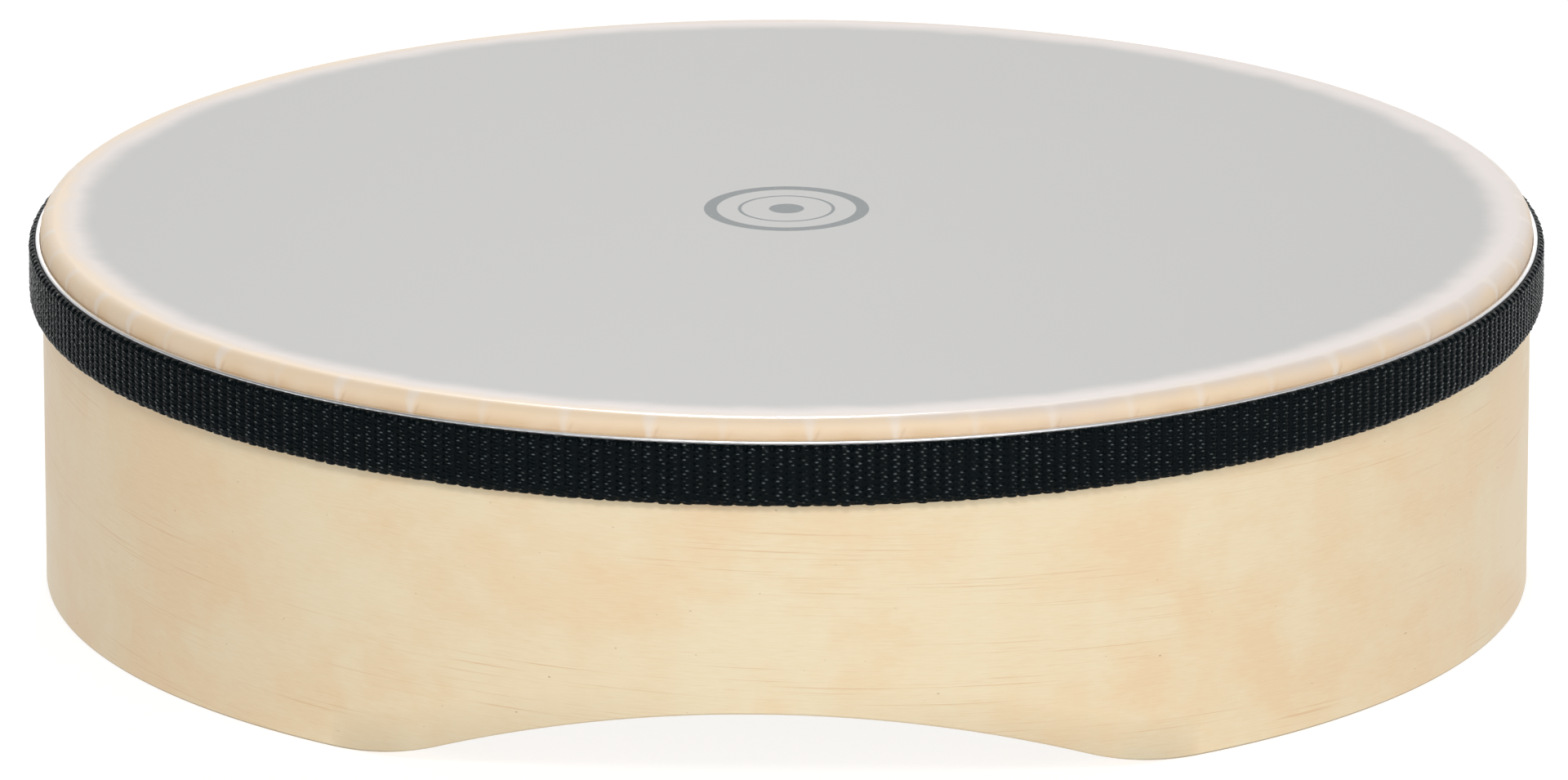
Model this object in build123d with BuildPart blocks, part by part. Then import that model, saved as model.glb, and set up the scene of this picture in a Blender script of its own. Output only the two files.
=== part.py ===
from build123d import *
import os
from math import degrees, hypot

# Frame drum: a laminated wooden shell, and a bonded film head held by a steel hoop strip under webbing.
# Millimetres, +Z up. The origin is the centre of the shell's bottom edge, in the plane it stands on.
# The grip arch is cut in the bottom edge on the -Y side. The webbing's ends meet on the +Y side.

# Shell
shell_radius = 127.0
shell_height = 63.25
face_ply_thickness = 0.8
cross_ply_thickness = 1.2
core_ply_thickness = 3.0
ply_seam_gap = 0.2
first_seam_angle = 105.0
seam_stagger = 30.0
rim_rounding = 2.25
edge_easing = 0.4

# Grip arch, cut straight through the front of the shell
grip_width = 123.0
grip_height = 13.2
grip_blend_radius = 50.0

# Film head
film_thickness = 0.25
collar_tail = 0.4

# Hoop strip
hoop_thickness = 0.8
hoop_width = 9.9
hoop_drop = 3.4
hoop_end_clearance = 2.9

# Brads through the hoop strip
brad_count = 24
brad_bite = 4.5
brad_radius = 0.6
brad_head_radius = 1.4
brad_head_thickness = 0.5
brad_point_length = 1.2
brad_set_depth = 0.05

# Webbing
webbing_thickness = 1.2
webbing_reveal = 0.5
webbing_overhang = 0.9
webbing_end_gap = 0.3

# Tacks through the webbing's ends
tack_bite = 3.75
tack_radius = 0.6
tack_head_radius = 2.0
tack_head_thickness = 0.5
tack_crown_rounding = 0.45
tack_point_length = 1.2
tack_end_distance = 3.5

# Where the pieces meet
back_angle = 90.0
touch_tolerance = 0.01
wall_thickness = 2 * face_ply_thickness + 2 * cross_ply_thickness + core_ply_thickness
collar_radius = shell_radius + film_thickness
collar_height = hoop_drop + hoop_width + collar_tail
head_height = shell_height + film_thickness
hoop_radius = collar_radius + hoop_thickness
hoop_top = head_height - hoop_drop
hoop_middle = hoop_top - hoop_width / 2
hoop_end_gap = 2 * (tack_end_distance + tack_radius + hoop_end_clearance)
brad_ring_radius = hoop_radius - brad_set_depth
brad_length = brad_ring_radius - shell_radius + brad_bite
webbing_radius = hoop_radius + webbing_thickness
webbing_width = hoop_width - webbing_reveal + webbing_overhang
webbing_middle = hoop_top - webbing_reveal - webbing_width / 2
tack_length = webbing_radius - shell_radius + tack_bite

os.makedirs("parts", exist_ok=True)


def save(piece, name):
    piece.part.label = name
    export_step(piece.part, f"parts/{name}.step")


def gap_angle(gap, radius):
    return degrees(gap / radius)


def ring_start(angle, gap, radius):
    """The half-plane where a split ring starts, so that its gap is centred on the angle."""
    return Plane.XZ.rotated((0, 0, angle + gap_angle(gap, radius) / 2))


def rounded_section(radius, top, depth, rounding):
    """Half the section of a round body about the Z axis, with its top outer edge rounded."""
    with BuildSketch(mode=Mode.PRIVATE) as section:
        with Locations((radius / 2, top - depth / 2)):
            blank = Rectangle(radius, depth)
        outer_corners = blank.vertices().group_by(Axis.X)[-1]
        fillet(outer_corners.sort_by(Axis.Y)[-1], rounding)
    return section.sketch


# Brads, driven all round through the hoop strip, their cone heads just below its face.
# They start half a pitch from the place where the strip's ends face each other.
with BuildPart() as brad:
    with BuildSketch(Plane.XY):
        with BuildLine():
            Polyline(
                (0, 0),
                (0, brad_head_radius),
                (-brad_head_thickness, brad_radius),
                (brad_point_length - brad_length, brad_radius),
                (-brad_length, 0),
                close=True,
            )
        make_face()
    revolve(axis=Axis.X)

with BuildPart() as hoop_brads:
    with Locations((0, 0, hoop_middle)):
        with PolarLocations(brad_ring_radius, brad_count, start_angle=back_angle + 180 / brad_count):
            add(brad.part)
save(hoop_brads, "hoop_brads")

# Tacks, one through each end of the webbing, in the gap between the hoop strip's ends
with BuildPart() as tack:
    with BuildSketch(Plane.XY):
        with BuildLine():
            Polyline(
                (tack_head_thickness, 0),
                (tack_head_thickness, tack_head_radius),
                (0, tack_head_radius),
                (0, tack_radius),
                (tack_point_length - tack_length, tack_radius),
                (-tack_length, 0),
                close=True,
            )
        make_face()
    revolve(axis=Axis.X)
    crown = tack.edges().filter_by(GeomType.CIRCLE).group_by(Axis.X)[-1]
    fillet(crown, tack_crown_rounding)

tack_angle = gap_angle(tack_end_distance, webbing_radius)
with BuildPart() as webbing_tacks:
    with Locations((0, 0, webbing_middle)):
        with PolarLocations(webbing_radius, 1, start_angle=back_angle - tack_angle):
            add(tack.part)
        with PolarLocations(webbing_radius, 1, start_angle=back_angle + tack_angle):
            add(tack.part)
save(webbing_tacks, "webbing_tacks")

# The grip arch's outline: one round arc up to the crest, blended into the bottom edge at both ends
half_width = grip_width / 2
run_out = grip_blend_radius / 2
with BuildPart() as grip_cutter:
    with BuildSketch(Plane.XZ):
        with BuildLine():
            ThreePointArc((-half_width, 0), (0, grip_height), (half_width, 0))
            Polyline(
                (half_width, 0),
                (half_width + run_out, 0),
                (half_width + run_out, -grip_height),
                (-half_width - run_out, -grip_height),
                (-half_width - run_out, 0),
                (-half_width, 0),
            )
        outline = make_face()
        feet = outline.vertices().group_by(Axis.Y)[1].sort_by(Axis.X)[1:3]
        fillet(feet, grip_blend_radius)
    extrude(amount=shell_radius + wall_thickness)


def exposed_bottom_edges(layer):
    """The bottom edges that lie on the shell's outer or inner face, over the grip arch too."""
    shell_faces = (shell_radius, shell_radius - wall_thickness)
    found = []
    for edge in layer.edges():
        middle = edge.position_at(0.5)
        is_low = edge.bounding_box().max.Z < grip_height + touch_tolerance
        if is_low and any(abs(hypot(middle.X, middle.Y) - face) < touch_tolerance for face in shell_faces):
            found.append(edge)
    return found


def save_ply(name, inner_radius, thickness, seam_angle):
    """One ply: a strip bent into a ring, ends butted, then rounded, cut and nailed with the whole shell."""
    with BuildPart() as layer:
        with BuildSketch(ring_start(seam_angle, ply_seam_gap, inner_radius)):
            add(rounded_section(shell_radius, shell_height, shell_height, rim_rounding))
            with Locations((inner_radius + thickness / 2, shell_height / 2)):
                Rectangle(thickness, shell_height, mode=Mode.INTERSECT)
        revolve(axis=Axis.Z, revolution_arc=360 - gap_angle(ply_seam_gap, inner_radius))
        add(grip_cutter.part, mode=Mode.SUBTRACT)
        exposed = exposed_bottom_edges(layer)
        if exposed:
            fillet(exposed, edge_easing)
        add(hoop_brads.part, mode=Mode.SUBTRACT)
        add(webbing_tacks.part, mode=Mode.SUBTRACT)
    save(layer, name)


# Plies, from the outer face to the inner one
ply_thicknesses = {
    "outer_ply": face_ply_thickness,
    "outer_cross_ply": cross_ply_thickness,
    "core_ply": core_ply_thickness,
    "inner_cross_ply": cross_ply_thickness,
    "inner_ply": face_ply_thickness,
}
ply_radius = shell_radius
seam_angle = first_seam_angle
for name, thickness in ply_thicknesses.items():
    ply_radius -= thickness
    save_ply(name, ply_radius, thickness, seam_angle)
    seam_angle -= seam_stagger

# Film head: a disc bonded to the shell's top, rounded over the rim, and a collar turned down over the wall
with BuildPart() as head_film:
    with BuildSketch(Plane.XZ):
        add(rounded_section(collar_radius, head_height, collar_height, rim_rounding + film_thickness))
        add(rounded_section(shell_radius, shell_height, collar_height, rim_rounding), mode=Mode.SUBTRACT)
    revolve(axis=Axis.Z)
    add(hoop_brads.part, mode=Mode.SUBTRACT)
    add(webbing_tacks.part, mode=Mode.SUBTRACT)
save(head_film, "head_film")

# Hoop strip: steel, wrapped round the collar, its ends facing each other at the back
with BuildPart() as hoop_strip:
    with BuildSketch(ring_start(back_angle, hoop_end_gap, collar_radius)):
        with Locations((collar_radius + hoop_thickness / 2, hoop_middle)):
            Rectangle(hoop_thickness, hoop_width)
    revolve(axis=Axis.Z, revolution_arc=360 - gap_angle(hoop_end_gap, collar_radius))
    add(hoop_brads.part, mode=Mode.SUBTRACT)
save(hoop_strip, "hoop_strip")

# Webbing: woven tape, glued over the hoop strip and its brads, its ends meeting at the back
with BuildPart() as webbing_band:
    with BuildSketch(ring_start(back_angle, webbing_end_gap, hoop_radius)):
        with Locations((hoop_radius + webbing_thickness / 2, webbing_middle)):
            Rectangle(webbing_thickness, webbing_width)
    revolve(axis=Axis.Z, revolution_arc=360 - gap_angle(webbing_end_gap, hoop_radius))
    add(webbing_tacks.part, mode=Mode.SUBTRACT)
save(webbing_band, "webbing_band")
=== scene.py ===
import math

import bmesh
import bpy
import numpy as np
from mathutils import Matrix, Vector


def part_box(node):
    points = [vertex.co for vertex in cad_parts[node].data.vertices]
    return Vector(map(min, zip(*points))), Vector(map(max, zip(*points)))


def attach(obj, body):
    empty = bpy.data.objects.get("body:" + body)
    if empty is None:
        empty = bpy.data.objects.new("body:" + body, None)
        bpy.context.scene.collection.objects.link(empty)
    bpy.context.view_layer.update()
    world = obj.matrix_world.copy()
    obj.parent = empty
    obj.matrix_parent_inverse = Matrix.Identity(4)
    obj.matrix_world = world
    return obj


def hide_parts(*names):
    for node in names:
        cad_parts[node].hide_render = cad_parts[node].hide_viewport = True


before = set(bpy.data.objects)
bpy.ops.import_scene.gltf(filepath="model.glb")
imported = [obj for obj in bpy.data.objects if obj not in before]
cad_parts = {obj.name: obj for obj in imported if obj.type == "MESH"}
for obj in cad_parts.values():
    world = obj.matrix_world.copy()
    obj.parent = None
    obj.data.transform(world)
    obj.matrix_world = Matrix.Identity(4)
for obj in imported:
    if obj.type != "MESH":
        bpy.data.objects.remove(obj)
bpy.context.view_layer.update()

# ---------------------------------------------------------------------------
# Shell plies
# Five veneers of pale hardwood, bent round a former and glued into one wall. Each is one strip with
# its ends butted, and the whole wall is then rounded at the top and cut by the grip arch.
# ---------------------------------------------------------------------------
RING_STEPS = 720
FULL_TURN = 2 * math.pi
FRONT = -math.pi / 2
BACK = math.pi / 2
SHELL_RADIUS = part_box("outer_ply")[1].x
SHELL_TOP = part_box("core_ply")[1].z
RIM_ROUNDING = 0.00225
EDGE_EASING = 0.0004
PLY_SEAM_GAP = 0.0002
FIRST_SEAM = math.radians(105)
SEAM_STAGGER = math.radians(30)
GRIP_HALF_WIDTH = 0.0615
GRIP_HEIGHT = 0.0132
GRIP_BLEND = 0.050
WALL_POINTS = 7
TOP_POINTS = 9
# Painted contact shadow on the eased outer bottom edge: its strength on the floor, in the arch, and the rise
# over which it fades
EDGE_SHADOW = 0.85
EDGE_SHADOW_IN_ARCH = 0.40
ARCH_RISE_TO_LIGHTEN = 0.002


def arch_height(x):
    """Height of the wall's bottom edge above the floor, across the front of the drum."""
    arch_radius = (GRIP_HALF_WIDTH**2 + GRIP_HEIGHT**2) / (2 * GRIP_HEIGHT)
    arch_centre = GRIP_HEIGHT - arch_radius
    blend_end = math.sqrt((arch_radius + GRIP_BLEND) ** 2 - (GRIP_BLEND - arch_centre) ** 2)
    blend_start = blend_end * arch_radius / (arch_radius + GRIP_BLEND)
    x = np.abs(x)
    arch = arch_centre + np.sqrt(arch_radius**2 - np.minimum(x, arch_radius) ** 2)
    blend = GRIP_BLEND - np.sqrt(GRIP_BLEND**2 - np.clip(blend_end - x, 0, GRIP_BLEND) ** 2)
    return np.where(x < blend_start, arch, blend)


def round_corner(centre_r, centre_z, radius, start, end, steps):
    """Points of an arc in the section plane, from one angle in degrees to another."""
    turn = np.radians(np.linspace(start, end, steps))
    return [(centre_r + radius * math.cos(a), centre_z + radius * math.sin(a)) for a in turn]


def ring_points(section, angles):
    """The section's (radius, height) points, turned to each angle: rows of loops in the row frame."""
    r = np.broadcast_to(section[..., 0], (len(angles), section.shape[-2]))
    z = np.broadcast_to(section[..., 1], (len(angles), section.shape[-2]))
    turn = np.asarray(angles)[:, None]
    return np.stack([r * np.cos(turn), r * np.sin(turn), z], axis=-1)


def skin(name, loops, along, material, node, joined=False, sharp=40):
    """A closed skin over rows of section loops, set in the drum in place of its CAD node.

    It keeps each point's place on the flat strip: (along, up, out).
    """
    rows, points, _ = loops.shape
    row = np.arange(rows if joined else rows - 1)[:, None] * points
    next_row = (row + points) % (rows * points)
    here = np.arange(points)[None, :]
    there = (here + 1) % points
    quads = np.stack([row + here, next_row + here, next_row + there, row + there], axis=-1)
    faces = quads.reshape(-1, 4).tolist()
    if not joined:
        faces.append(list(range(points)))
        faces.append(list(range((rows - 1) * points, rows * points))[::-1])
    mesh = bpy.data.meshes.new(name)
    mesh.from_pydata(loops.reshape(-1, 3).tolist(), [], faces)
    out = np.hypot(loops[..., 0], loops[..., 1])
    strip = np.stack([np.broadcast_to(np.asarray(along)[:, None], out.shape), loops[..., 2], out], axis=-1)
    place = mesh.attributes.new("strip", "FLOAT_VECTOR", "POINT")
    place.data.foreach_set("vector", strip.astype(np.float32).ravel())
    mesh.shade_smooth()
    mesh.set_sharp_from_angle(angle=math.radians(sharp))
    mesh.materials.append(material)
    piece = bpy.data.objects.new(name, mesh)
    bpy.context.scene.collection.objects.link(piece)
    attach(piece, "root")
    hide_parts(node)
    return piece


def keep_mask(piece, name, values):
    """Stores one value for each point of the mesh, which the piece's material reads by this name."""
    made = piece.data.attributes.new(name, "FLOAT", "POINT")
    made.data.foreach_set("value", values.astype(np.float32).ravel())


def colour(red, green, blue):
    """A colour given as it looks on a screen, 0 to 255, as the shaders hold it."""
    parts = np.array([red, green, blue]) / 255
    linear = np.where(parts <= 0.04045, parts / 12.92, ((parts + 0.055) / 1.055) ** 2.4)
    return (*linear.tolist(), 1.0)


def node(tree, kind, sockets=None, **settings):
    """A shader node with its settings, and its sockets either set or linked."""
    made = tree.nodes.new("ShaderNode" + kind)
    for name, value in settings.items():
        setattr(made, name, value)
    for name, value in (sockets or {}).items():
        if isinstance(value, bpy.types.NodeSocket):
            tree.links.new(value, made.inputs[name])
        else:
            made.inputs[name].default_value = value
    return made


def mix(tree, factor, first, second, blend="MIX"):
    """The colour between two others."""
    made = node(tree, "Mix", data_type="RGBA", blend_type=blend)
    for index, value in ((0, factor), (6, first), (7, second)):
        if isinstance(value, bpy.types.NodeSocket):
            tree.links.new(value, made.inputs[index])
        else:
            made.inputs[index].default_value = value
    return made.outputs[2]


def maths(tree, operation, first, second=0.0, clamp=False):
    """One sum on values that change over the surface."""
    made = node(tree, "Math", {0: first, 1: second}, operation=operation, use_clamp=clamp)
    return made.outputs[0]


def step(tree, value, low, high, to_low=0.0, to_high=1.0):
    """Runs smoothly from one value to another while the input goes from low to high."""
    sockets = {"Value": value, "From Min": low, "From Max": high, "To Min": to_low, "To Max": to_high}
    return node(tree, "MapRange", sockets, interpolation_type="SMOOTHSTEP").outputs["Result"]


def noise(tree, vector, stretch, detail=2.0, roughness=0.5):
    """Soft noise, with about this many patches to the metre along each axis of the vector."""
    placed = node(tree, "VectorMath", {0: vector, 1: stretch}, operation="MULTIPLY")
    sockets = {"Vector": placed.outputs[0], "Scale": 1.0, "Detail": detail, "Roughness": roughness}
    return node(tree, "TexNoise", sockets).outputs["Fac"]


def group(name, inputs, outputs):
    """An empty node group with these named sockets, and its input and output nodes."""
    tree = bpy.data.node_groups.new(name, "ShaderNodeTree")
    for socket, (kind, value) in inputs.items():
        made = tree.interface.new_socket(socket, in_out="INPUT", socket_type="NodeSocket" + kind)
        if value is not None:
            made.default_value = value
    for socket, kind in outputs.items():
        tree.interface.new_socket(socket, in_out="OUTPUT", socket_type="NodeSocket" + kind)
    return tree, tree.nodes.new("NodeGroupInput"), tree.nodes.new("NodeGroupOutput")


def use_group(tree, made_group, sockets):
    """Places a node group in a material, with its inputs set or linked."""
    placed = node(tree, "Group", node_tree=made_group)
    for name, value in sockets.items():
        if isinstance(value, bpy.types.NodeSocket):
            tree.links.new(value, placed.inputs[name])
        else:
            placed.inputs[name].default_value = value
    return placed.outputs


def new_material(name, **sockets):
    """A material with one Principled shader, and the plain values that are the same all over."""
    material = bpy.data.materials.new(name)
    material.use_nodes = True
    shader = material.node_tree.nodes["Principled BSDF"]
    for socket, value in sockets.items():
        shader.inputs[socket.replace("_", " ")].default_value = value
    return material, material.node_tree, shader


def feed(tree, shader, colour_from=None, roughness=None, height=None, bump=(1.0, 0.001)):
    """Links what changes over the surface to the shader."""
    if colour_from is not None:
        tree.links.new(colour_from, shader.inputs["Base Color"])
    if roughness is not None:
        tree.links.new(roughness, shader.inputs["Roughness"])
    if height is not None:
        raised = node(tree, "Bump", {"Strength": bump[0], "Distance": bump[1], "Height": height})
        tree.links.new(raised.outputs["Normal"], shader.inputs["Normal"])


# Sliced hardwood veneer: cream and blush cloud into each other, with short warm streaks along the grain.
veneer, given, result = group(
    "veneer",
    {
        "Strip": ("Vector", None),
        "Cream": ("Color", colour(240, 223, 190)),
        "Blush": ("Color", colour(236, 205, 170)),
        "Streak": ("Color", colour(214, 170, 118)),
        "Fleck": ("Color", colour(150, 110, 74)),
        "Streak Amount": ("Float", 0.6),
        "Painted Side Shade": ("Float", 0.0),
        "Grain Turn": ("Float", 0.0),
    },
    {"Color": "Color", "Roughness": "Float", "Height": "Float"},
)
along_grain = node(
    veneer,
    "VectorRotate",
    {"Vector": given.outputs["Strip"], "Angle": given.outputs["Grain Turn"]},
    rotation_type="Z_AXIS",
).outputs["Vector"]
clouds = noise(veneer, along_grain, (48, 60, 60), detail=4.0, roughness=0.6)
bands = noise(veneer, along_grain, (85, 9, 9), detail=2.0)
hairlines = noise(veneer, along_grain, (34, 3400, 3400), detail=1.0)
dashes = noise(veneer, along_grain, (170, 3000, 3000), detail=1.0)
hairline_zones = noise(veneer, along_grain, (16, 75, 75), detail=1.0)
fibres = noise(veneer, along_grain, (320, 5200, 5200), detail=2.0)
flecks = noise(veneer, along_grain, (900, 1900, 1900), detail=0.0)
# The wood's own blush clouds, plus the painted side shade fed in from outside
blush_and_side_shade = maths(veneer, "ADD", step(veneer, clouds, 0.36, 0.70), given.outputs["Painted Side Shade"], clamp=True)
tone = mix(veneer, blush_and_side_shade, given.outputs["Cream"], given.outputs["Blush"])
tone = mix(veneer, step(veneer, bands, 0.40, 0.70, 0.0, 0.35), tone, given.outputs["Blush"])
hairline_mask = maths(
    veneer,
    "MULTIPLY",
    step(veneer, hairlines, 0.60, 0.80),
    step(veneer, hairline_zones, 0.42, 0.60),
)
hairline_mask = maths(veneer, "MAXIMUM", hairline_mask, step(veneer, dashes, 0.66, 0.84, 0.0, 0.5))
streak_mask = maths(veneer, "MULTIPLY", hairline_mask, given.outputs["Streak Amount"])
tone = mix(veneer, streak_mask, tone, given.outputs["Streak"])
tone = mix(veneer, step(veneer, flecks, 0.85, 0.90, 0.0, 0.5), tone, given.outputs["Fleck"])
fibre_grey = node(veneer, "CombineColor", {0: fibres, 1: fibres, 2: fibres}).outputs[0]
tone = mix(veneer, 0.15, tone, fibre_grey, "OVERLAY")
veneer.links.new(tone, result.inputs["Color"])
veneer.links.new(step(veneer, fibres, 0.2, 0.8, 0.36, 0.50), result.inputs["Roughness"])
veneer.links.new(maths(veneer, "SUBTRACT", fibres, streak_mask), result.inputs["Height"])


def veneer_material(name, cream, blush_and_side_shade, streak, amount, grain_turn, **plain):
    """One ply's wood. It is painted pinker towards the drum's left and right as painted side shade, and
    painted dark along its outer bottom edge as a painted contact shadow.
    """
    material, tree, shader = new_material(name, **plain)
    strip = node(tree, "Attribute", attribute_name="strip").outputs["Vector"]
    across_drum = node(tree, "SeparateXYZ", {"Vector": node(tree, "TexCoord").outputs["Object"]}).outputs["X"]
    # Pinker towards the drum's left and right and paler at its front and back: painted side shade
    painted_side_shade = step(tree, maths(tree, "ABSOLUTE", across_drum), 0.03, 0.12, -0.15, 0.35)
    out = use_group(
        tree,
        veneer,
        {
            "Strip": strip,
            "Cream": cream,
            "Blush": blush_and_side_shade,
            "Streak": streak,
            "Streak Amount": amount,
            "Painted Side Shade": painted_side_shade,
            "Grain Turn": grain_turn,
        },
    )
    painted_edge_shadow = node(tree, "Attribute", attribute_name="painted_edge_shadow").outputs["Fac"]
    # Painted contact shadow along the outer bottom edge
    tone = mix(tree, painted_edge_shadow, out["Color"], colour(64, 52, 38))
    feed(tree, shader, tone, out["Roughness"], out["Height"], bump=(0.25, 0.00006))
    return material


face_wood = veneer_material(
    "lacquered_face_veneer",
    colour(233, 217, 184),
    colour(232, 206, 168),
    colour(206, 152, 100),
    0.42,
    math.radians(2),
    Specular_IOR_Level=0.25,
    Coat_Weight=0.05,
    Coat_Roughness=0.25,
)
cross_wood = veneer_material(
    "bare_cross_veneer",
    colour(206, 176, 134),
    colour(190, 154, 112),
    colour(150, 112, 74),
    0.9,
    math.radians(90),
)
core_wood = veneer_material(
    "bare_core_veneer",
    colour(224, 200, 160),
    colour(214, 184, 142),
    colour(178, 138, 94),
    0.9,
    0.0,
)


def ply_sections(inner, outer, angles, ease_inside, ease_outside):
    """One loop of (radius, height) points for each angle, anticlockwise from the bottom of the inner face."""
    low = [(inner, 0)]
    if ease_inside:
        low = round_corner(inner + EDGE_EASING, EDGE_EASING, EDGE_EASING, 180, 270, 5)
    if ease_outside:
        low += round_corner(outer - EDGE_EASING, EDGE_EASING, EDGE_EASING, 270, 360, 5)
    else:
        low += [(outer, 0)]
    low = np.array(low)
    top_r = np.linspace(outer, inner, TOP_POINTS)
    over_rim = np.clip(top_r - SHELL_RADIUS + RIM_ROUNDING, 0, RIM_ROUNDING)
    top_z = SHELL_TOP - RIM_ROUNDING + np.sqrt(RIM_ROUNDING**2 - over_rim**2)
    wall = np.linspace(0, 1, WALL_POINTS + 2)[1:-1]
    sections = []
    for angle in angles:
        lift = arch_height(low[:, 0] * math.cos(angle)) * (math.sin(angle) < 0)
        bottom = np.column_stack([low[:, 0], low[:, 1] + lift])
        outer_z = bottom[-1, 1] + (top_z[0] - bottom[-1, 1]) * wall
        inner_z = top_z[-1] + (bottom[0, 1] - top_z[-1]) * wall
        outer_wall = np.column_stack([np.full(WALL_POINTS, outer), outer_z])
        inner_wall = np.column_stack([np.full(WALL_POINTS, inner), inner_z])
        sections.append(np.concatenate([bottom, outer_wall, np.column_stack([top_r, top_z]), inner_wall]))
    return np.array(sections)


# From the outer face to the inner one: each ply's thickness, wood and slot
PLIES = {
    "outer_ply": (0.0008, face_wood, "shell_face"),
    "outer_cross_ply": (0.0012, cross_wood, "shell_core"),
    "core_ply": (0.0030, core_wood, "shell_core"),
    "inner_cross_ply": (0.0012, cross_wood, "shell_core"),
    "inner_ply": (0.0008, face_wood, "shell_face"),
}
ply_outer = SHELL_RADIUS
for number, (cad_node, (thickness, wood, slot_name)) in enumerate(PLIES.items()):
    ply_inner = ply_outer - thickness
    half_gap = PLY_SEAM_GAP / ply_inner / 2
    seam = FIRST_SEAM - number * SEAM_STAGGER
    angles = np.linspace(seam + half_gap, seam + FULL_TURN - half_gap, RING_STEPS + 1)
    sections = ply_sections(ply_inner, ply_outer, angles, cad_node == "inner_ply", cad_node == "outer_ply")
    ply = skin(
        "shell_" + cad_node,
        ring_points(sections, angles),
        (angles - FRONT) * ply_outer,
        wood,
        cad_node,
    )
    # A painted contact shadow on the outer ply's eased bottom edge, weaker where the edge rises into the arch
    above_edge = sections[..., 1] - sections[..., 1].min(axis=1, keepdims=True)
    in_arch = np.clip(sections[..., 1].min(axis=1, keepdims=True) / ARCH_RISE_TO_LIGHTEN, 0, 1)
    near_face = np.clip((sections[..., 0] - ply_outer) / EDGE_EASING + 1, 0, 1) * (cad_node == "outer_ply")
    edge_shadow_strength = EDGE_SHADOW + (EDGE_SHADOW_IN_ARCH - EDGE_SHADOW) * in_arch
    keep_mask(ply, "painted_edge_shadow", np.sqrt(np.clip(1 - above_edge / EDGE_EASING, 0, 1) * near_face) * edge_shadow_strength)
    ply_outer = ply_inner

# ---------------------------------------------------------------------------
# Head
# A disc of milky polyester film, stretched over the shell, bonded to its top and turned down over the
# wall as a collar. The collar is gathered in small pleats, which stand a little off the wood.
# ---------------------------------------------------------------------------
FILM_THICKNESS = 0.00025
HEAD_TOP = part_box("head_film")[1].z
COLLAR_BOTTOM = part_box("head_film")[0].z
COLLAR_RADIUS = SHELL_RADIUS + FILM_THICKNESS
CREST_RADIUS = RIM_ROUNDING + FILM_THICKNESS
HEAD_STEPS = 2400
PLEAT_COUNT = 60
PLEAT_TOP_WIDTH = 0.0020
PLEAT_FOOT_WIDTH = 0.00060
PLEAT_HEIGHT = 0.00009
HOOP_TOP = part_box("hoop_strip")[1].z

# The head's section: across its flat middle, over the rim, down the collar, and back underneath
disc_r = np.array([0, 0.02, 0.045, 0.07, 0.09, 0.105, 0.112, 0.117, 0.120, 0.1225])
crest = round_corner(COLLAR_RADIUS - CREST_RADIUS, HEAD_TOP - CREST_RADIUS, CREST_RADIUS, 90, 0, 15)
collar_z = np.concatenate([np.linspace(HEAD_TOP - CREST_RADIUS, HOOP_TOP - 0.0006, 9)[1:], [COLLAR_BOTTOM]])
outside = [(r, HEAD_TOP) for r in disc_r] + crest + [(COLLAR_RADIUS, z) for z in collar_z]
under_crest = round_corner(SHELL_RADIUS - RIM_ROUNDING, HEAD_TOP - CREST_RADIUS, RIM_ROUNDING, 0, 90, 7)
under = [(SHELL_RADIUS, COLLAR_BOTTOM)] + under_crest + [(r, HEAD_TOP - FILM_THICKNESS) for r in disc_r[::-1]]
head_section = np.array((outside + under)[::-1])
is_outside = np.arange(len(head_section))[::-1] < len(outside)

# The pleats are about evenly spaced. Each is widest at the rim and runs to a point at the hoop.
draw = np.random.default_rng(7)
head_angles = np.linspace(0, FULL_TURN, HEAD_STEPS, endpoint=False)
pleat_places = np.arange(PLEAT_COUNT) * FULL_TURN / PLEAT_COUNT + draw.normal(0, 0.006, PLEAT_COUNT)
pleat_places += math.radians(3.7) + math.radians(1.7) * np.sin(pleat_places)
pleat_sizes = draw.uniform(0.50, 1.0, PLEAT_COUNT)
drop = np.clip((HEAD_TOP - head_section[:, 1]) / (HEAD_TOP - HOOP_TOP), 0, 1)
pleat_widths = PLEAT_TOP_WIDTH + (PLEAT_FOOT_WIDTH - PLEAT_TOP_WIDTH) * drop**0.55
pleats = np.zeros((HEAD_STEPS, len(head_section)))
shaded_side = np.zeros((HEAD_STEPS, len(head_section)))
for pleat_place, pleat_size in zip(pleat_places, pleat_sizes):
    away = ((head_angles - FRONT - pleat_place + math.pi) % FULL_TURN - math.pi) * SHELL_RADIUS
    ridge = np.exp(-((away[:, None] / pleat_widths) ** 2))
    pleats = np.maximum(pleats, pleat_size * ridge)
    beside = np.exp(-(((away[:, None] - 1.5 * pleat_widths) / (0.5 * pleat_widths)) ** 2))
    shaded_side = np.maximum(shaded_side, pleat_size * beside)
pressed_flat = np.clip((head_section[:, 1] - HOOP_TOP + 0.0004) / 0.0006, 0, 1)
raised = np.clip((head_section[:, 0] - COLLAR_RADIUS + CREST_RADIUS) / CREST_RADIUS, 0, 1)
pleats = pleats * is_outside * (raised > 0)
lift = pleats * np.clip(drop * 3, 0, 1) * pressed_flat
head_profile = np.stack(
    [
        head_section[:, 0] + PLEAT_HEIGHT * lift * raised,
        np.broadcast_to(head_section[:, 1], lift.shape),
    ],
    axis=-1,
)

FREE_FILM = colour(181, 180, 177)
FILM_OVER_WALL = colour(229, 219, 214)
FILM_AT_RIM = colour(230, 216, 204)
UPPER_TAN = colour(242, 218, 187)
LOWER_TAN = colour(228, 197, 158)
CLOUDY_TAN = colour(241, 220, 194)
PLEAT_SHADE = colour(196, 160, 128)
PLEAT_LIGHT = colour(240, 229, 218)
RIM_SHINE_DEPTH = 0.0012
RIM_SHINE_START = 0.0004

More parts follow.
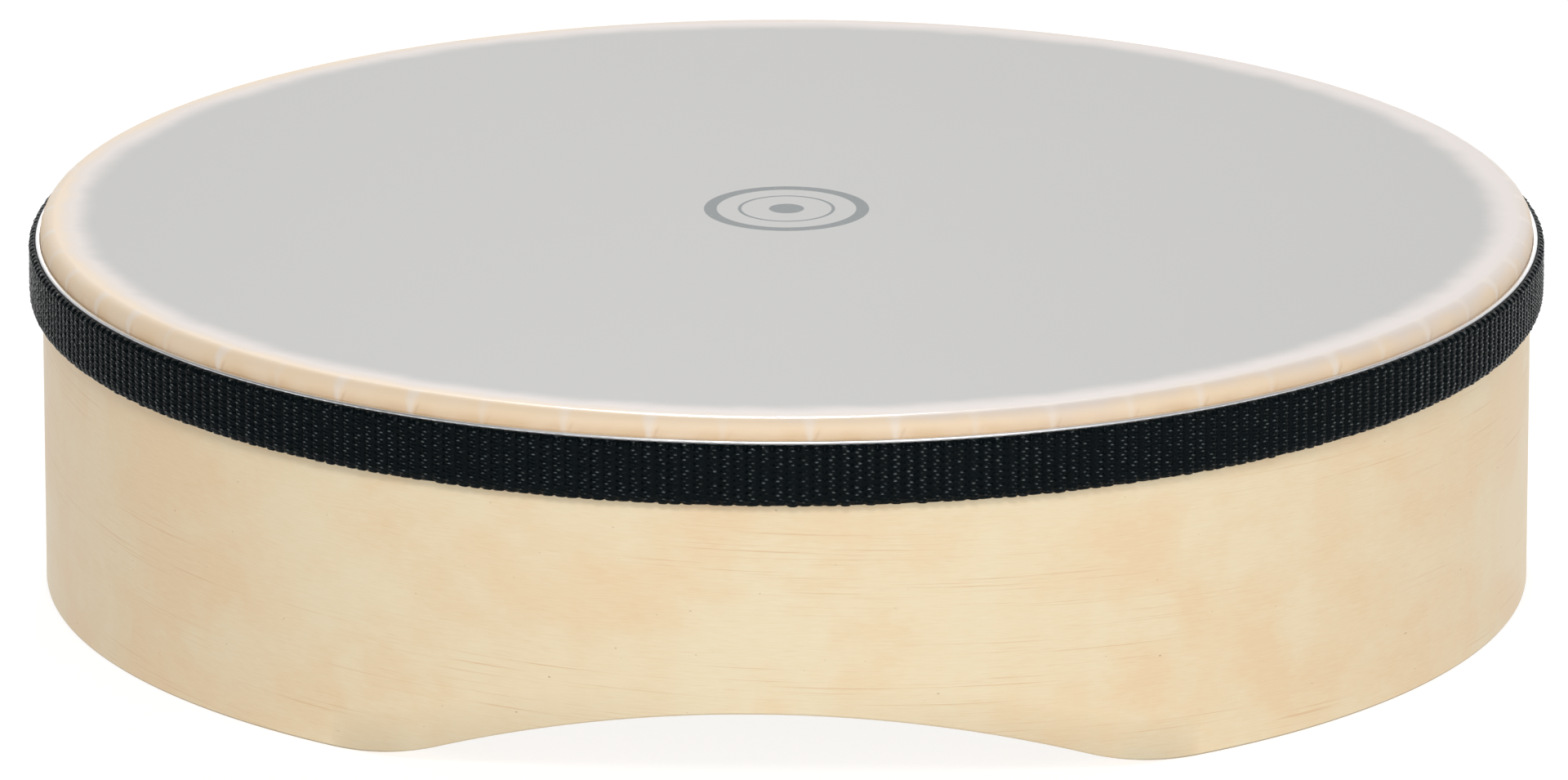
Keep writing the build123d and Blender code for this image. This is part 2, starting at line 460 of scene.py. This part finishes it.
film, tree, shader = new_material("milky_film", Specular_IOR_Level=0.35, Coat_Roughness=0.10)
place = node(tree, "TexCoord").outputs["Object"]
flat_place = node(tree, "VectorMath", {0: place, 1: (1.0, 1.0, 0.0)}, operation="MULTIPLY").outputs[0]
radius = node(tree, "VectorMath", {0: flat_place}, operation="LENGTH").outputs["Value"]
height = node(tree, "SeparateXYZ", {"Vector": place}).outputs["Z"]
haze = noise(tree, place, (9, 9, 9), detail=3.0)
specks = noise(tree, place, (1400, 1400, 1400), detail=2.0)
cloudy = noise(tree, place, (130, 130, 130), detail=2.0)
wavy_radius = maths(tree, "ADD", radius, step(tree, cloudy, 0.3, 0.7, -0.0004, 0.0004))
inner_edge = step(tree, wavy_radius, 0.1176, 0.1232)
# The film sticks to the wood further up the rim on the drum's left than on its right
leaning = step(tree, node(tree, "SeparateXYZ", {"Vector": place}).outputs["X"], -0.11, 0.11, 0.0018, -0.0012)
slow_wave = step(tree, noise(tree, place, (40, 40, 40)), 0.3, 0.7, -0.0005, 0.0005)
stuck_radius = maths(tree, "ADD", wavy_radius, maths(tree, "ADD", leaning, slow_wave))
outer_edge = step(tree, stuck_radius, 0.1222, 0.1256)
top_tone = mix(tree, inner_edge, FREE_FILM, FILM_OVER_WALL)
top_tone = mix(tree, outer_edge, top_tone, FILM_AT_RIM)
deeper = step(tree, height, HEAD_TOP - 0.0006, HOOP_TOP - 0.0002)
tan = mix(tree, deeper, UPPER_TAN, LOWER_TAN)
tan = mix(tree, step(tree, cloudy, 0.35, 0.7, 0.0, 0.6), tan, CLOUDY_TAN)
on_wood = mix(tree, step(tree, stuck_radius, 0.1244, 0.1268), top_tone, tan)
pleat_mask = node(tree, "Attribute", attribute_name="pleat").outputs["Fac"]
shade_mask = node(tree, "Attribute", attribute_name="shaded_side").outputs["Fac"]
# Painted shadow beside each pleat, and each pleat's ridge paler: the film stands off the wood there, with a
# painted highlight on the ridge.
film_tone = mix(tree, step(tree, shade_mask, 0.2, 0.9, 0.0, 0.25), on_wood, PLEAT_SHADE)
film_tone = mix(tree, step(tree, pleat_mask, 0.15, 0.95, 0.0, 0.60), film_tone, PLEAT_LIGHT)

# A plain printed mark in the middle of the head: a bold ring, a fine ring inside it and a dot
BOLD_RING_RADIUS = 0.0130
BOLD_RING_HALF_WIDTH = 0.0011
FINE_RING_RADIUS = 0.0080
FINE_RING_HALF_WIDTH = 0.0003
DOT_RADIUS = 0.0030
INK = colour(70, 82, 86)
INK_EDGE = 0.00010
ink = step(tree, radius, DOT_RADIUS + INK_EDGE, DOT_RADIUS - INK_EDGE)
for ring_radius, half_width in (
    (BOLD_RING_RADIUS, BOLD_RING_HALF_WIDTH),
    (FINE_RING_RADIUS, FINE_RING_HALF_WIDTH),
):
    off_line = maths(tree, "ABSOLUTE", maths(tree, "SUBTRACT", radius, ring_radius))
    ink = maths(tree, "MAXIMUM", ink, step(tree, off_line, half_width + INK_EDGE, half_width - INK_EDGE))
ink = maths(tree, "MULTIPLY", ink, step(tree, specks, 0.25, 0.45, 0.82, 0.95))
ink = maths(tree, "MULTIPLY", ink, step(tree, height, HEAD_TOP - 0.0002, HEAD_TOP - 0.0001))
film_tone = mix(tree, ink, film_tone, INK)
shiny = step(tree, height, HEAD_TOP - RIM_SHINE_DEPTH, HEAD_TOP - RIM_SHINE_START, 0.0, 0.35)
tree.links.new(shiny, shader.inputs["Coat Weight"])
duller_down_the_rim = step(tree, height, HEAD_TOP, HEAD_TOP - RIM_SHINE_DEPTH, 0.0, 0.2)
film_roughness = maths(tree, "ADD", step(tree, haze, 0.3, 0.7, 0.34, 0.42), duller_down_the_rim)
feed(tree, shader, film_tone, film_roughness, specks, bump=(0.12, 0.00003))

head = skin(
    "drum_head",
    ring_points(head_profile, head_angles),
    head_angles * SHELL_RADIUS,
    film,
    "head_film",
    joined=True,
)
keep_mask(head, "pleat", pleats)
keep_mask(head, "shaded_side", shaded_side * np.clip(drop * 2 - 0.4, 0, 1) * is_outside)

# The innermost loop of points is all at the centre, so it becomes one point
edit = bmesh.new()
edit.from_mesh(head.data)
at_centre = [vertex for vertex in edit.verts if vertex.co.xy.length < 0.00001]
bmesh.ops.remove_doubles(edit, verts=at_centre, dist=0.00001)
edit.to_mesh(head.data)
edit.free()

# ---------------------------------------------------------------------------
# Hoop strip
# A bright steel strip wrapped round the collar and nailed through it. Its rounded top edge shows
# as a thin line above the webbing.
# ---------------------------------------------------------------------------
HOOP_INNER = COLLAR_RADIUS
HOOP_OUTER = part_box("hoop_strip")[1].x
HOOP_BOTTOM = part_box("hoop_strip")[0].z
HOOP_ROUNDING = 0.00028
HOOP_END_GAP = 0.014

steel, tree, shader = new_material("bright_strip_steel", Metallic=1.0)
strip = node(tree, "Attribute", attribute_name="strip").outputs["Vector"]
drawn = noise(tree, strip, (40, 9000, 9000), detail=2.0)
dulled = noise(tree, strip, (60, 60, 60), detail=3.0)
steel_tone = mix(tree, step(tree, dulled, 0.50, 0.80, 0.0, 0.5), colour(246, 246, 247), colour(205, 204, 202))
feed(tree, shader, steel_tone, step(tree, drawn, 0.3, 0.7, 0.30, 0.44), drawn, bump=(0.15, 0.00002))

corners = []
for corner_r, corner_z, start in (
    (HOOP_INNER + HOOP_ROUNDING, HOOP_BOTTOM + HOOP_ROUNDING, 180),
    (HOOP_OUTER - HOOP_ROUNDING, HOOP_BOTTOM + HOOP_ROUNDING, 270),
    (HOOP_OUTER - HOOP_ROUNDING, HOOP_TOP - HOOP_ROUNDING, 0),
    (HOOP_INNER + HOOP_ROUNDING, HOOP_TOP - HOOP_ROUNDING, 90),
):
    corners += round_corner(corner_r, corner_z, HOOP_ROUNDING, start, start + 90, 7)
half_gap = HOOP_END_GAP / HOOP_INNER / 2
angles = np.linspace(BACK + half_gap, BACK + FULL_TURN - half_gap, RING_STEPS + 1)
skin(
    "hoop",
    ring_points(np.array(corners), angles),
    angles * HOOP_OUTER,
    steel,
    "hoop_strip",
)

# ---------------------------------------------------------------------------
# Hoop brads
# Small steel nails with cone heads, driven through the strip and the collar into the wood. The
# webbing covers them.
# ---------------------------------------------------------------------------
brad_steel, tree, shader = new_material("plain_nail_steel", Metallic=1.0)
place = node(tree, "TexCoord").outputs["Object"]
scuffs = noise(tree, place, (900, 900, 900), detail=3.0)
brad_tone = mix(tree, step(tree, scuffs, 0.35, 0.7), colour(178, 178, 178), colour(132, 128, 122))
feed(tree, shader, brad_tone, step(tree, scuffs, 0.3, 0.7, 0.32, 0.5), scuffs, bump=(0.2, 0.00003))
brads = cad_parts["hoop_brads"]
for material_slot in brads.material_slots:
    material_slot.material = brad_steel

# ---------------------------------------------------------------------------
# Webbing
# Woven polypropylene tape, black, glued over the hoop strip. It is woven in upright ribs, each a
# column of small stitches that lean outwards at the bottom, and the returning weft binds its edges.
# The crowns of the stitches shine under a clear coat, and pale glints are painted on them.
# ---------------------------------------------------------------------------
WEB_INNER = HOOP_OUTER
WEB_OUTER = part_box("webbing_band")[1].x
WEB_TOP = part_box("webbing_band")[1].z
WEB_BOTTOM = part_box("webbing_band")[0].z
RIB_COUNT = 378
RIB_COLUMNS = 10
STITCH_PITCH = 0.0006
STITCH_ROWS = 4
RIB_DEPTH = 0.00024
RIB_SHARE = 0.82
STITCH_DEPTH = 0.00022
STITCH_SLANT = 0.00016
STITCH_UNEVENNESS = 0.00003
WEB_TUCK = 0.00025
WEB_END_GAP = 0.0003
LOW_EDGE_REACH = 0.0016
LOW_EDGE_FALL = 0.00045
HIGH_EDGE_REACH = 0.0009
HIGH_EDGE_FALL = 0.00050
SELVAGE_BEAD_HEIGHT = 0.00012
SCALLOP_REGULAR = 0.00003
SCALLOP_RANDOM = 0.00005
RIB_BULGE = 0.00010
GLINT_WIDTH = 0.36

web_gap = WEB_END_GAP / WEB_INNER
web_steps = RIB_COUNT * RIB_COLUMNS
web_angles = np.linspace(BACK + web_gap / 2, BACK + FULL_TURN - web_gap / 2, web_steps + 1)
across = np.arange(web_steps + 1) / RIB_COLUMNS
rib = np.floor(across).astype(int)
in_rib = (across - rib) * 2 - 1
web_height = WEB_TOP - WEB_BOTTOM
stitch_count = round(web_height / STITCH_PITCH)
face_rows = stitch_count * STITCH_ROWS
up = np.linspace(0, 1, face_rows + 1)
rib_random = draw.normal(0, 1, (RIB_COUNT + 1, 3))
rib_wobble = rib_random[rib]
stitch_random = draw.normal(0, 1, (RIB_COUNT + 1, stitch_count + 1))
web_z = WEB_BOTTOM + up[None, :] * web_height
stitch_place = web_z - WEB_BOTTOM + STITCH_SLANT * in_rib[:, None]
stitch_place = stitch_place / STITCH_PITCH + 0.5 * (rib % 2)[:, None] + 0.1 * rib_wobble[:, :1]
stitch_index = np.clip(np.floor(stitch_place).astype(int), 0, stitch_count)
in_stitch = stitch_place - np.floor(stitch_place)
bead = np.clip(np.minimum(in_stitch / 0.25, (1 - in_stitch) / 0.75), 0, 1)
zigzag = 0.12 * np.sin(math.pi * stitch_place + 0.6) + 0.06 * rib_wobble[:, 1:2]
rib_round = np.clip(1 - np.abs((in_rib[:, None] - zigzag) / RIB_SHARE) ** 3, 0, 1) ** 0.45
rib_height = RIB_DEPTH * rib_round + STITCH_DEPTH * bead * rib_round
rib_height += STITCH_UNEVENNESS * stitch_random[rib[:, None], stitch_index] * rib_round
low = 1 - np.clip((web_z - WEB_BOTTOM) / LOW_EDGE_REACH, 0, 1)
high = 1 - np.clip((WEB_TOP - web_z) / HIGH_EDGE_REACH, 0, 1)
selvage_bead = np.abs(np.sin(2 * math.pi * across))[:, None]
selvage = SELVAGE_BEAD_HEIGHT * selvage_bead * high * (1 - high) * 4
edge_fall = LOW_EDGE_FALL * low**2.5 + HIGH_EDGE_FALL * high**2 - selvage
web_r = WEB_OUTER - RIB_DEPTH - STITCH_DEPTH + rib_height - edge_fall - WEB_TUCK * low
scallop = SCALLOP_REGULAR * np.cos(math.pi * across) + SCALLOP_RANDOM * rib_wobble[:, 2] * rib_round[:, 0]
bulge = RIB_BULGE * (rib_round[:, 0] - 0.7)
web_z = web_z - (scallop + bulge)[:, None] * low**1.5
back_r = np.full((web_steps + 1, 1), WEB_INNER)
bottom_z = web_z[:, :1] + 0.00012
top_z = np.full((web_steps + 1, 1), WEB_TOP - 0.00010)
bottom_mid = np.stack([(back_r + web_r[:, :1]) / 2, web_z[:, :1] - 0.00008], axis=-1)
top_mid = np.stack([(back_r + web_r[:, -1:]) / 2, web_z[:, -1:] + 0.00006], axis=-1)
face = np.stack([web_r, web_z], axis=-1)
inner_bottom = np.stack([back_r - WEB_TUCK, bottom_z], axis=-1)
inner_middle = np.stack([back_r, np.full_like(back_r, HOOP_BOTTOM + 0.0006)], axis=-1)
inner_top = np.stack([back_r, top_z], axis=-1)
web_profile = np.concatenate([inner_bottom, bottom_mid, face, top_mid, inner_top, inner_middle], axis=1)

webbing, tree, shader = new_material(
    "black_webbing",
    Specular_IOR_Level=0.06,
    Coat_Roughness=0.14,
    Coat_IOR=1.45,
)
strip = node(tree, "Attribute", attribute_name="strip").outputs["Vector"]
fuzz = noise(tree, strip, (2600, 2600, 2600), detail=3.0)
fade = noise(tree, strip, (90, 120, 120), detail=2.0)
fibre = noise(tree, strip, (9000, 2500, 9000), detail=1.0)
web_tone = mix(tree, step(tree, fuzz, 0.35, 0.75), colour(3, 10, 13), colour(6, 15, 18))
web_tone = mix(tree, step(tree, fade, 0.4, 0.7, 0.0, 0.35), web_tone, colour(4, 9, 11))
stitch_glint = node(tree, "Attribute", attribute_name="stitch_glint").outputs["Fac"]
# Pale dots painted on the stitch crowns: painted glints. The same mask puts a clear coat there.
web_tone = mix(tree, step(tree, stitch_glint, 0.15, 0.80, 0.0, 0.85), web_tone, colour(90, 102, 102))
tree.links.new(step(tree, stitch_glint, 0.10, 0.50, 0.0, 0.8), shader.inputs["Coat Weight"])
feed(tree, shader, web_tone, step(tree, fuzz, 0.3, 0.7, 0.25, 0.40), fibre, bump=(0.15, 0.00003))
band = skin(
    "webbing",
    ring_points(web_profile, web_angles),
    web_angles * WEB_OUTER,
    webbing,
    "webbing_band",
    sharp=75,
)
# Where the painted glints and the coat go: the crowns of the stitches
web_glint = np.zeros(web_profile.shape[:2])
rib_line = np.clip(1.2 - np.abs(in_rib[:, None] - 2 * zigzag) / GLINT_WIDTH, 0, 1)
stitch_sheen = np.clip(0.65 + 0.25 * stitch_random[rib[:, None], stitch_index], 0, 1)
first_face_point = inner_bottom.shape[1] + bottom_mid.shape[1]
face_points = slice(first_face_point, first_face_point + face_rows + 1)
web_glint[:, face_points] = bead**2 * rib_line * stitch_sheen * (1 - low * 0.6)
keep_mask(band, "stitch_glint", web_glint)

# ---------------------------------------------------------------------------
# Webbing tacks
# Two blackened tacks with domed heads, one through each end of the webbing, at the back of the drum
# where the ends meet.
# ---------------------------------------------------------------------------
tack_black, tree, shader = new_material("blackened_tack", Metallic=1.0)
place = node(tree, "TexCoord").outputs["Object"]
rubbed = noise(tree, place, (1500, 1500, 1500), detail=3.0)
tack_tone = mix(tree, step(tree, rubbed, 0.55, 0.75), colour(52, 52, 54), colour(120, 118, 114))
feed(tree, shader, tack_tone, step(tree, rubbed, 0.3, 0.7, 0.30, 0.46), rubbed, bump=(0.2, 0.00003))
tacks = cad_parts["webbing_tacks"]
for material_slot in tacks.material_slots:
    material_slot.material = tack_black

# ---------------------------------------------------------------------------
# Studio
# A pale floor that gives off light as a light table does, a soft box high behind the drum, one high
# in front of it, a broad low one in front to the right, and a long lens.
# ---------------------------------------------------------------------------
scene = bpy.context.scene
scene.view_settings.view_transform = "Standard"

floor_mesh = bpy.data.meshes.new("floor")
FLOOR_HALF = 4.0
floor_corners = [(FLOOR_HALF * x, FLOOR_HALF * y, 0) for x, y in ((-1, -1), (1, -1), (1, 1), (-1, 1))]
floor_mesh.from_pydata(floor_corners, [], [(0, 1, 2, 3)])
floor = bpy.data.objects.new("floor", floor_mesh)
floor.location.z = -0.0001
scene.collection.objects.link(floor)
pale, tree, shader = new_material("pale_floor", Roughness=0.8, Specular_IOR_Level=0.1, Emission_Strength=0.80)
grain = noise(tree, node(tree, "TexCoord").outputs["Object"], (3, 3, 3), detail=2.0)
feed(tree, shader, mix(tree, grain, colour(148, 148, 148), colour(154, 154, 154)))
shader.inputs["Emission Color"].default_value = (1, 1, 1, 1)
floor_mesh.materials.append(pale)

# A white sweep behind the drum, and a dimmer room to the sides and in front of it, dimmest on the left
world = bpy.data.worlds.new("studio")
world.use_nodes = True
room = world.node_tree
towards = node(room, "SeparateXYZ", {"Vector": node(room, "TexCoord").outputs["Generated"]})
room_light = step(room, towards.outputs["Y"], 0.45, 0.80, 0.32, 1.0)
room_light = maths(room, "MULTIPLY", room_light, step(room, towards.outputs["X"], -0.9, -0.2, 0.55, 1.0))
seen = node(room, "LightPath").outputs["Is Camera Ray"]
room.links.new(maths(room, "MAXIMUM", seen, room_light), room.nodes["Background"].inputs["Strength"])
room.nodes["Background"].inputs["Color"].default_value = (1, 1, 1, 1)
scene.world = world


def softbox(name, azimuth, elevation, distance, width, height, radiance):
    """A soft box that faces the drum, at this angle round it. Radiance is how bright its face is."""
    lamp = bpy.data.lights.new(name, "AREA")
    lamp.shape = "RECTANGLE"
    lamp.size = width
    lamp.size_y = height
    lamp.energy = radiance * math.pi * width * height
    turn = math.radians(azimuth)
    rise = math.radians(elevation)
    away = Vector((math.sin(turn) * math.cos(rise), -math.cos(turn) * math.cos(rise), math.sin(rise)))
    made = bpy.data.objects.new(name, lamp)
    made.location = Vector((0, 0, HEAD_TOP / 2)) + away * distance
    made.rotation_mode = "QUATERNION"
    made.rotation_quaternion = (-away).to_track_quat("-Z", "Y")
    scene.collection.objects.link(made)


softbox("high_back_box", 3.5, 132, 2.0, 0.28, 1.1, 13.5)
softbox("high_front_box", -2, 43, 2.6, 1.0, 0.5, 14.0)
softbox("low_front_box", 26, 25, 2.6, 1.6, 1.2, 2.0)

CAMERA_DISTANCE = 2.5
CAMERA_AZIMUTH = math.radians(2.0)
CAMERA_ELEVATION = math.radians(16.385)
AIM_HEIGHT = 0.032
AIM_LEFT = 0.00043
AIM_DOWN = 0.00074
back = Vector(
    (
        math.sin(CAMERA_AZIMUTH) * math.cos(CAMERA_ELEVATION),
        -math.cos(CAMERA_AZIMUTH) * math.cos(CAMERA_ELEVATION),
        math.sin(CAMERA_ELEVATION),
    )
)
camera = bpy.data.objects.new("camera", bpy.data.cameras.new("camera"))
camera.data.lens = 335.2
camera.data.sensor_width = 36.0
camera.data.clip_start = 0.1
camera.data.clip_end = 50.0
camera.rotation_mode = "QUATERNION"
camera.rotation_quaternion = (-back).to_track_quat("-Z", "Y")
right_of_camera = camera.rotation_quaternion @ Vector((1, 0, 0))
up_of_camera = camera.rotation_quaternion @ Vector((0, 1, 0))
aim = Vector((0, 0, AIM_HEIGHT)) - right_of_camera * AIM_LEFT - up_of_camera * AIM_DOWN
camera.location = aim + back * CAMERA_DISTANCE
scene.collection.objects.link(camera)
scene.camera = camera
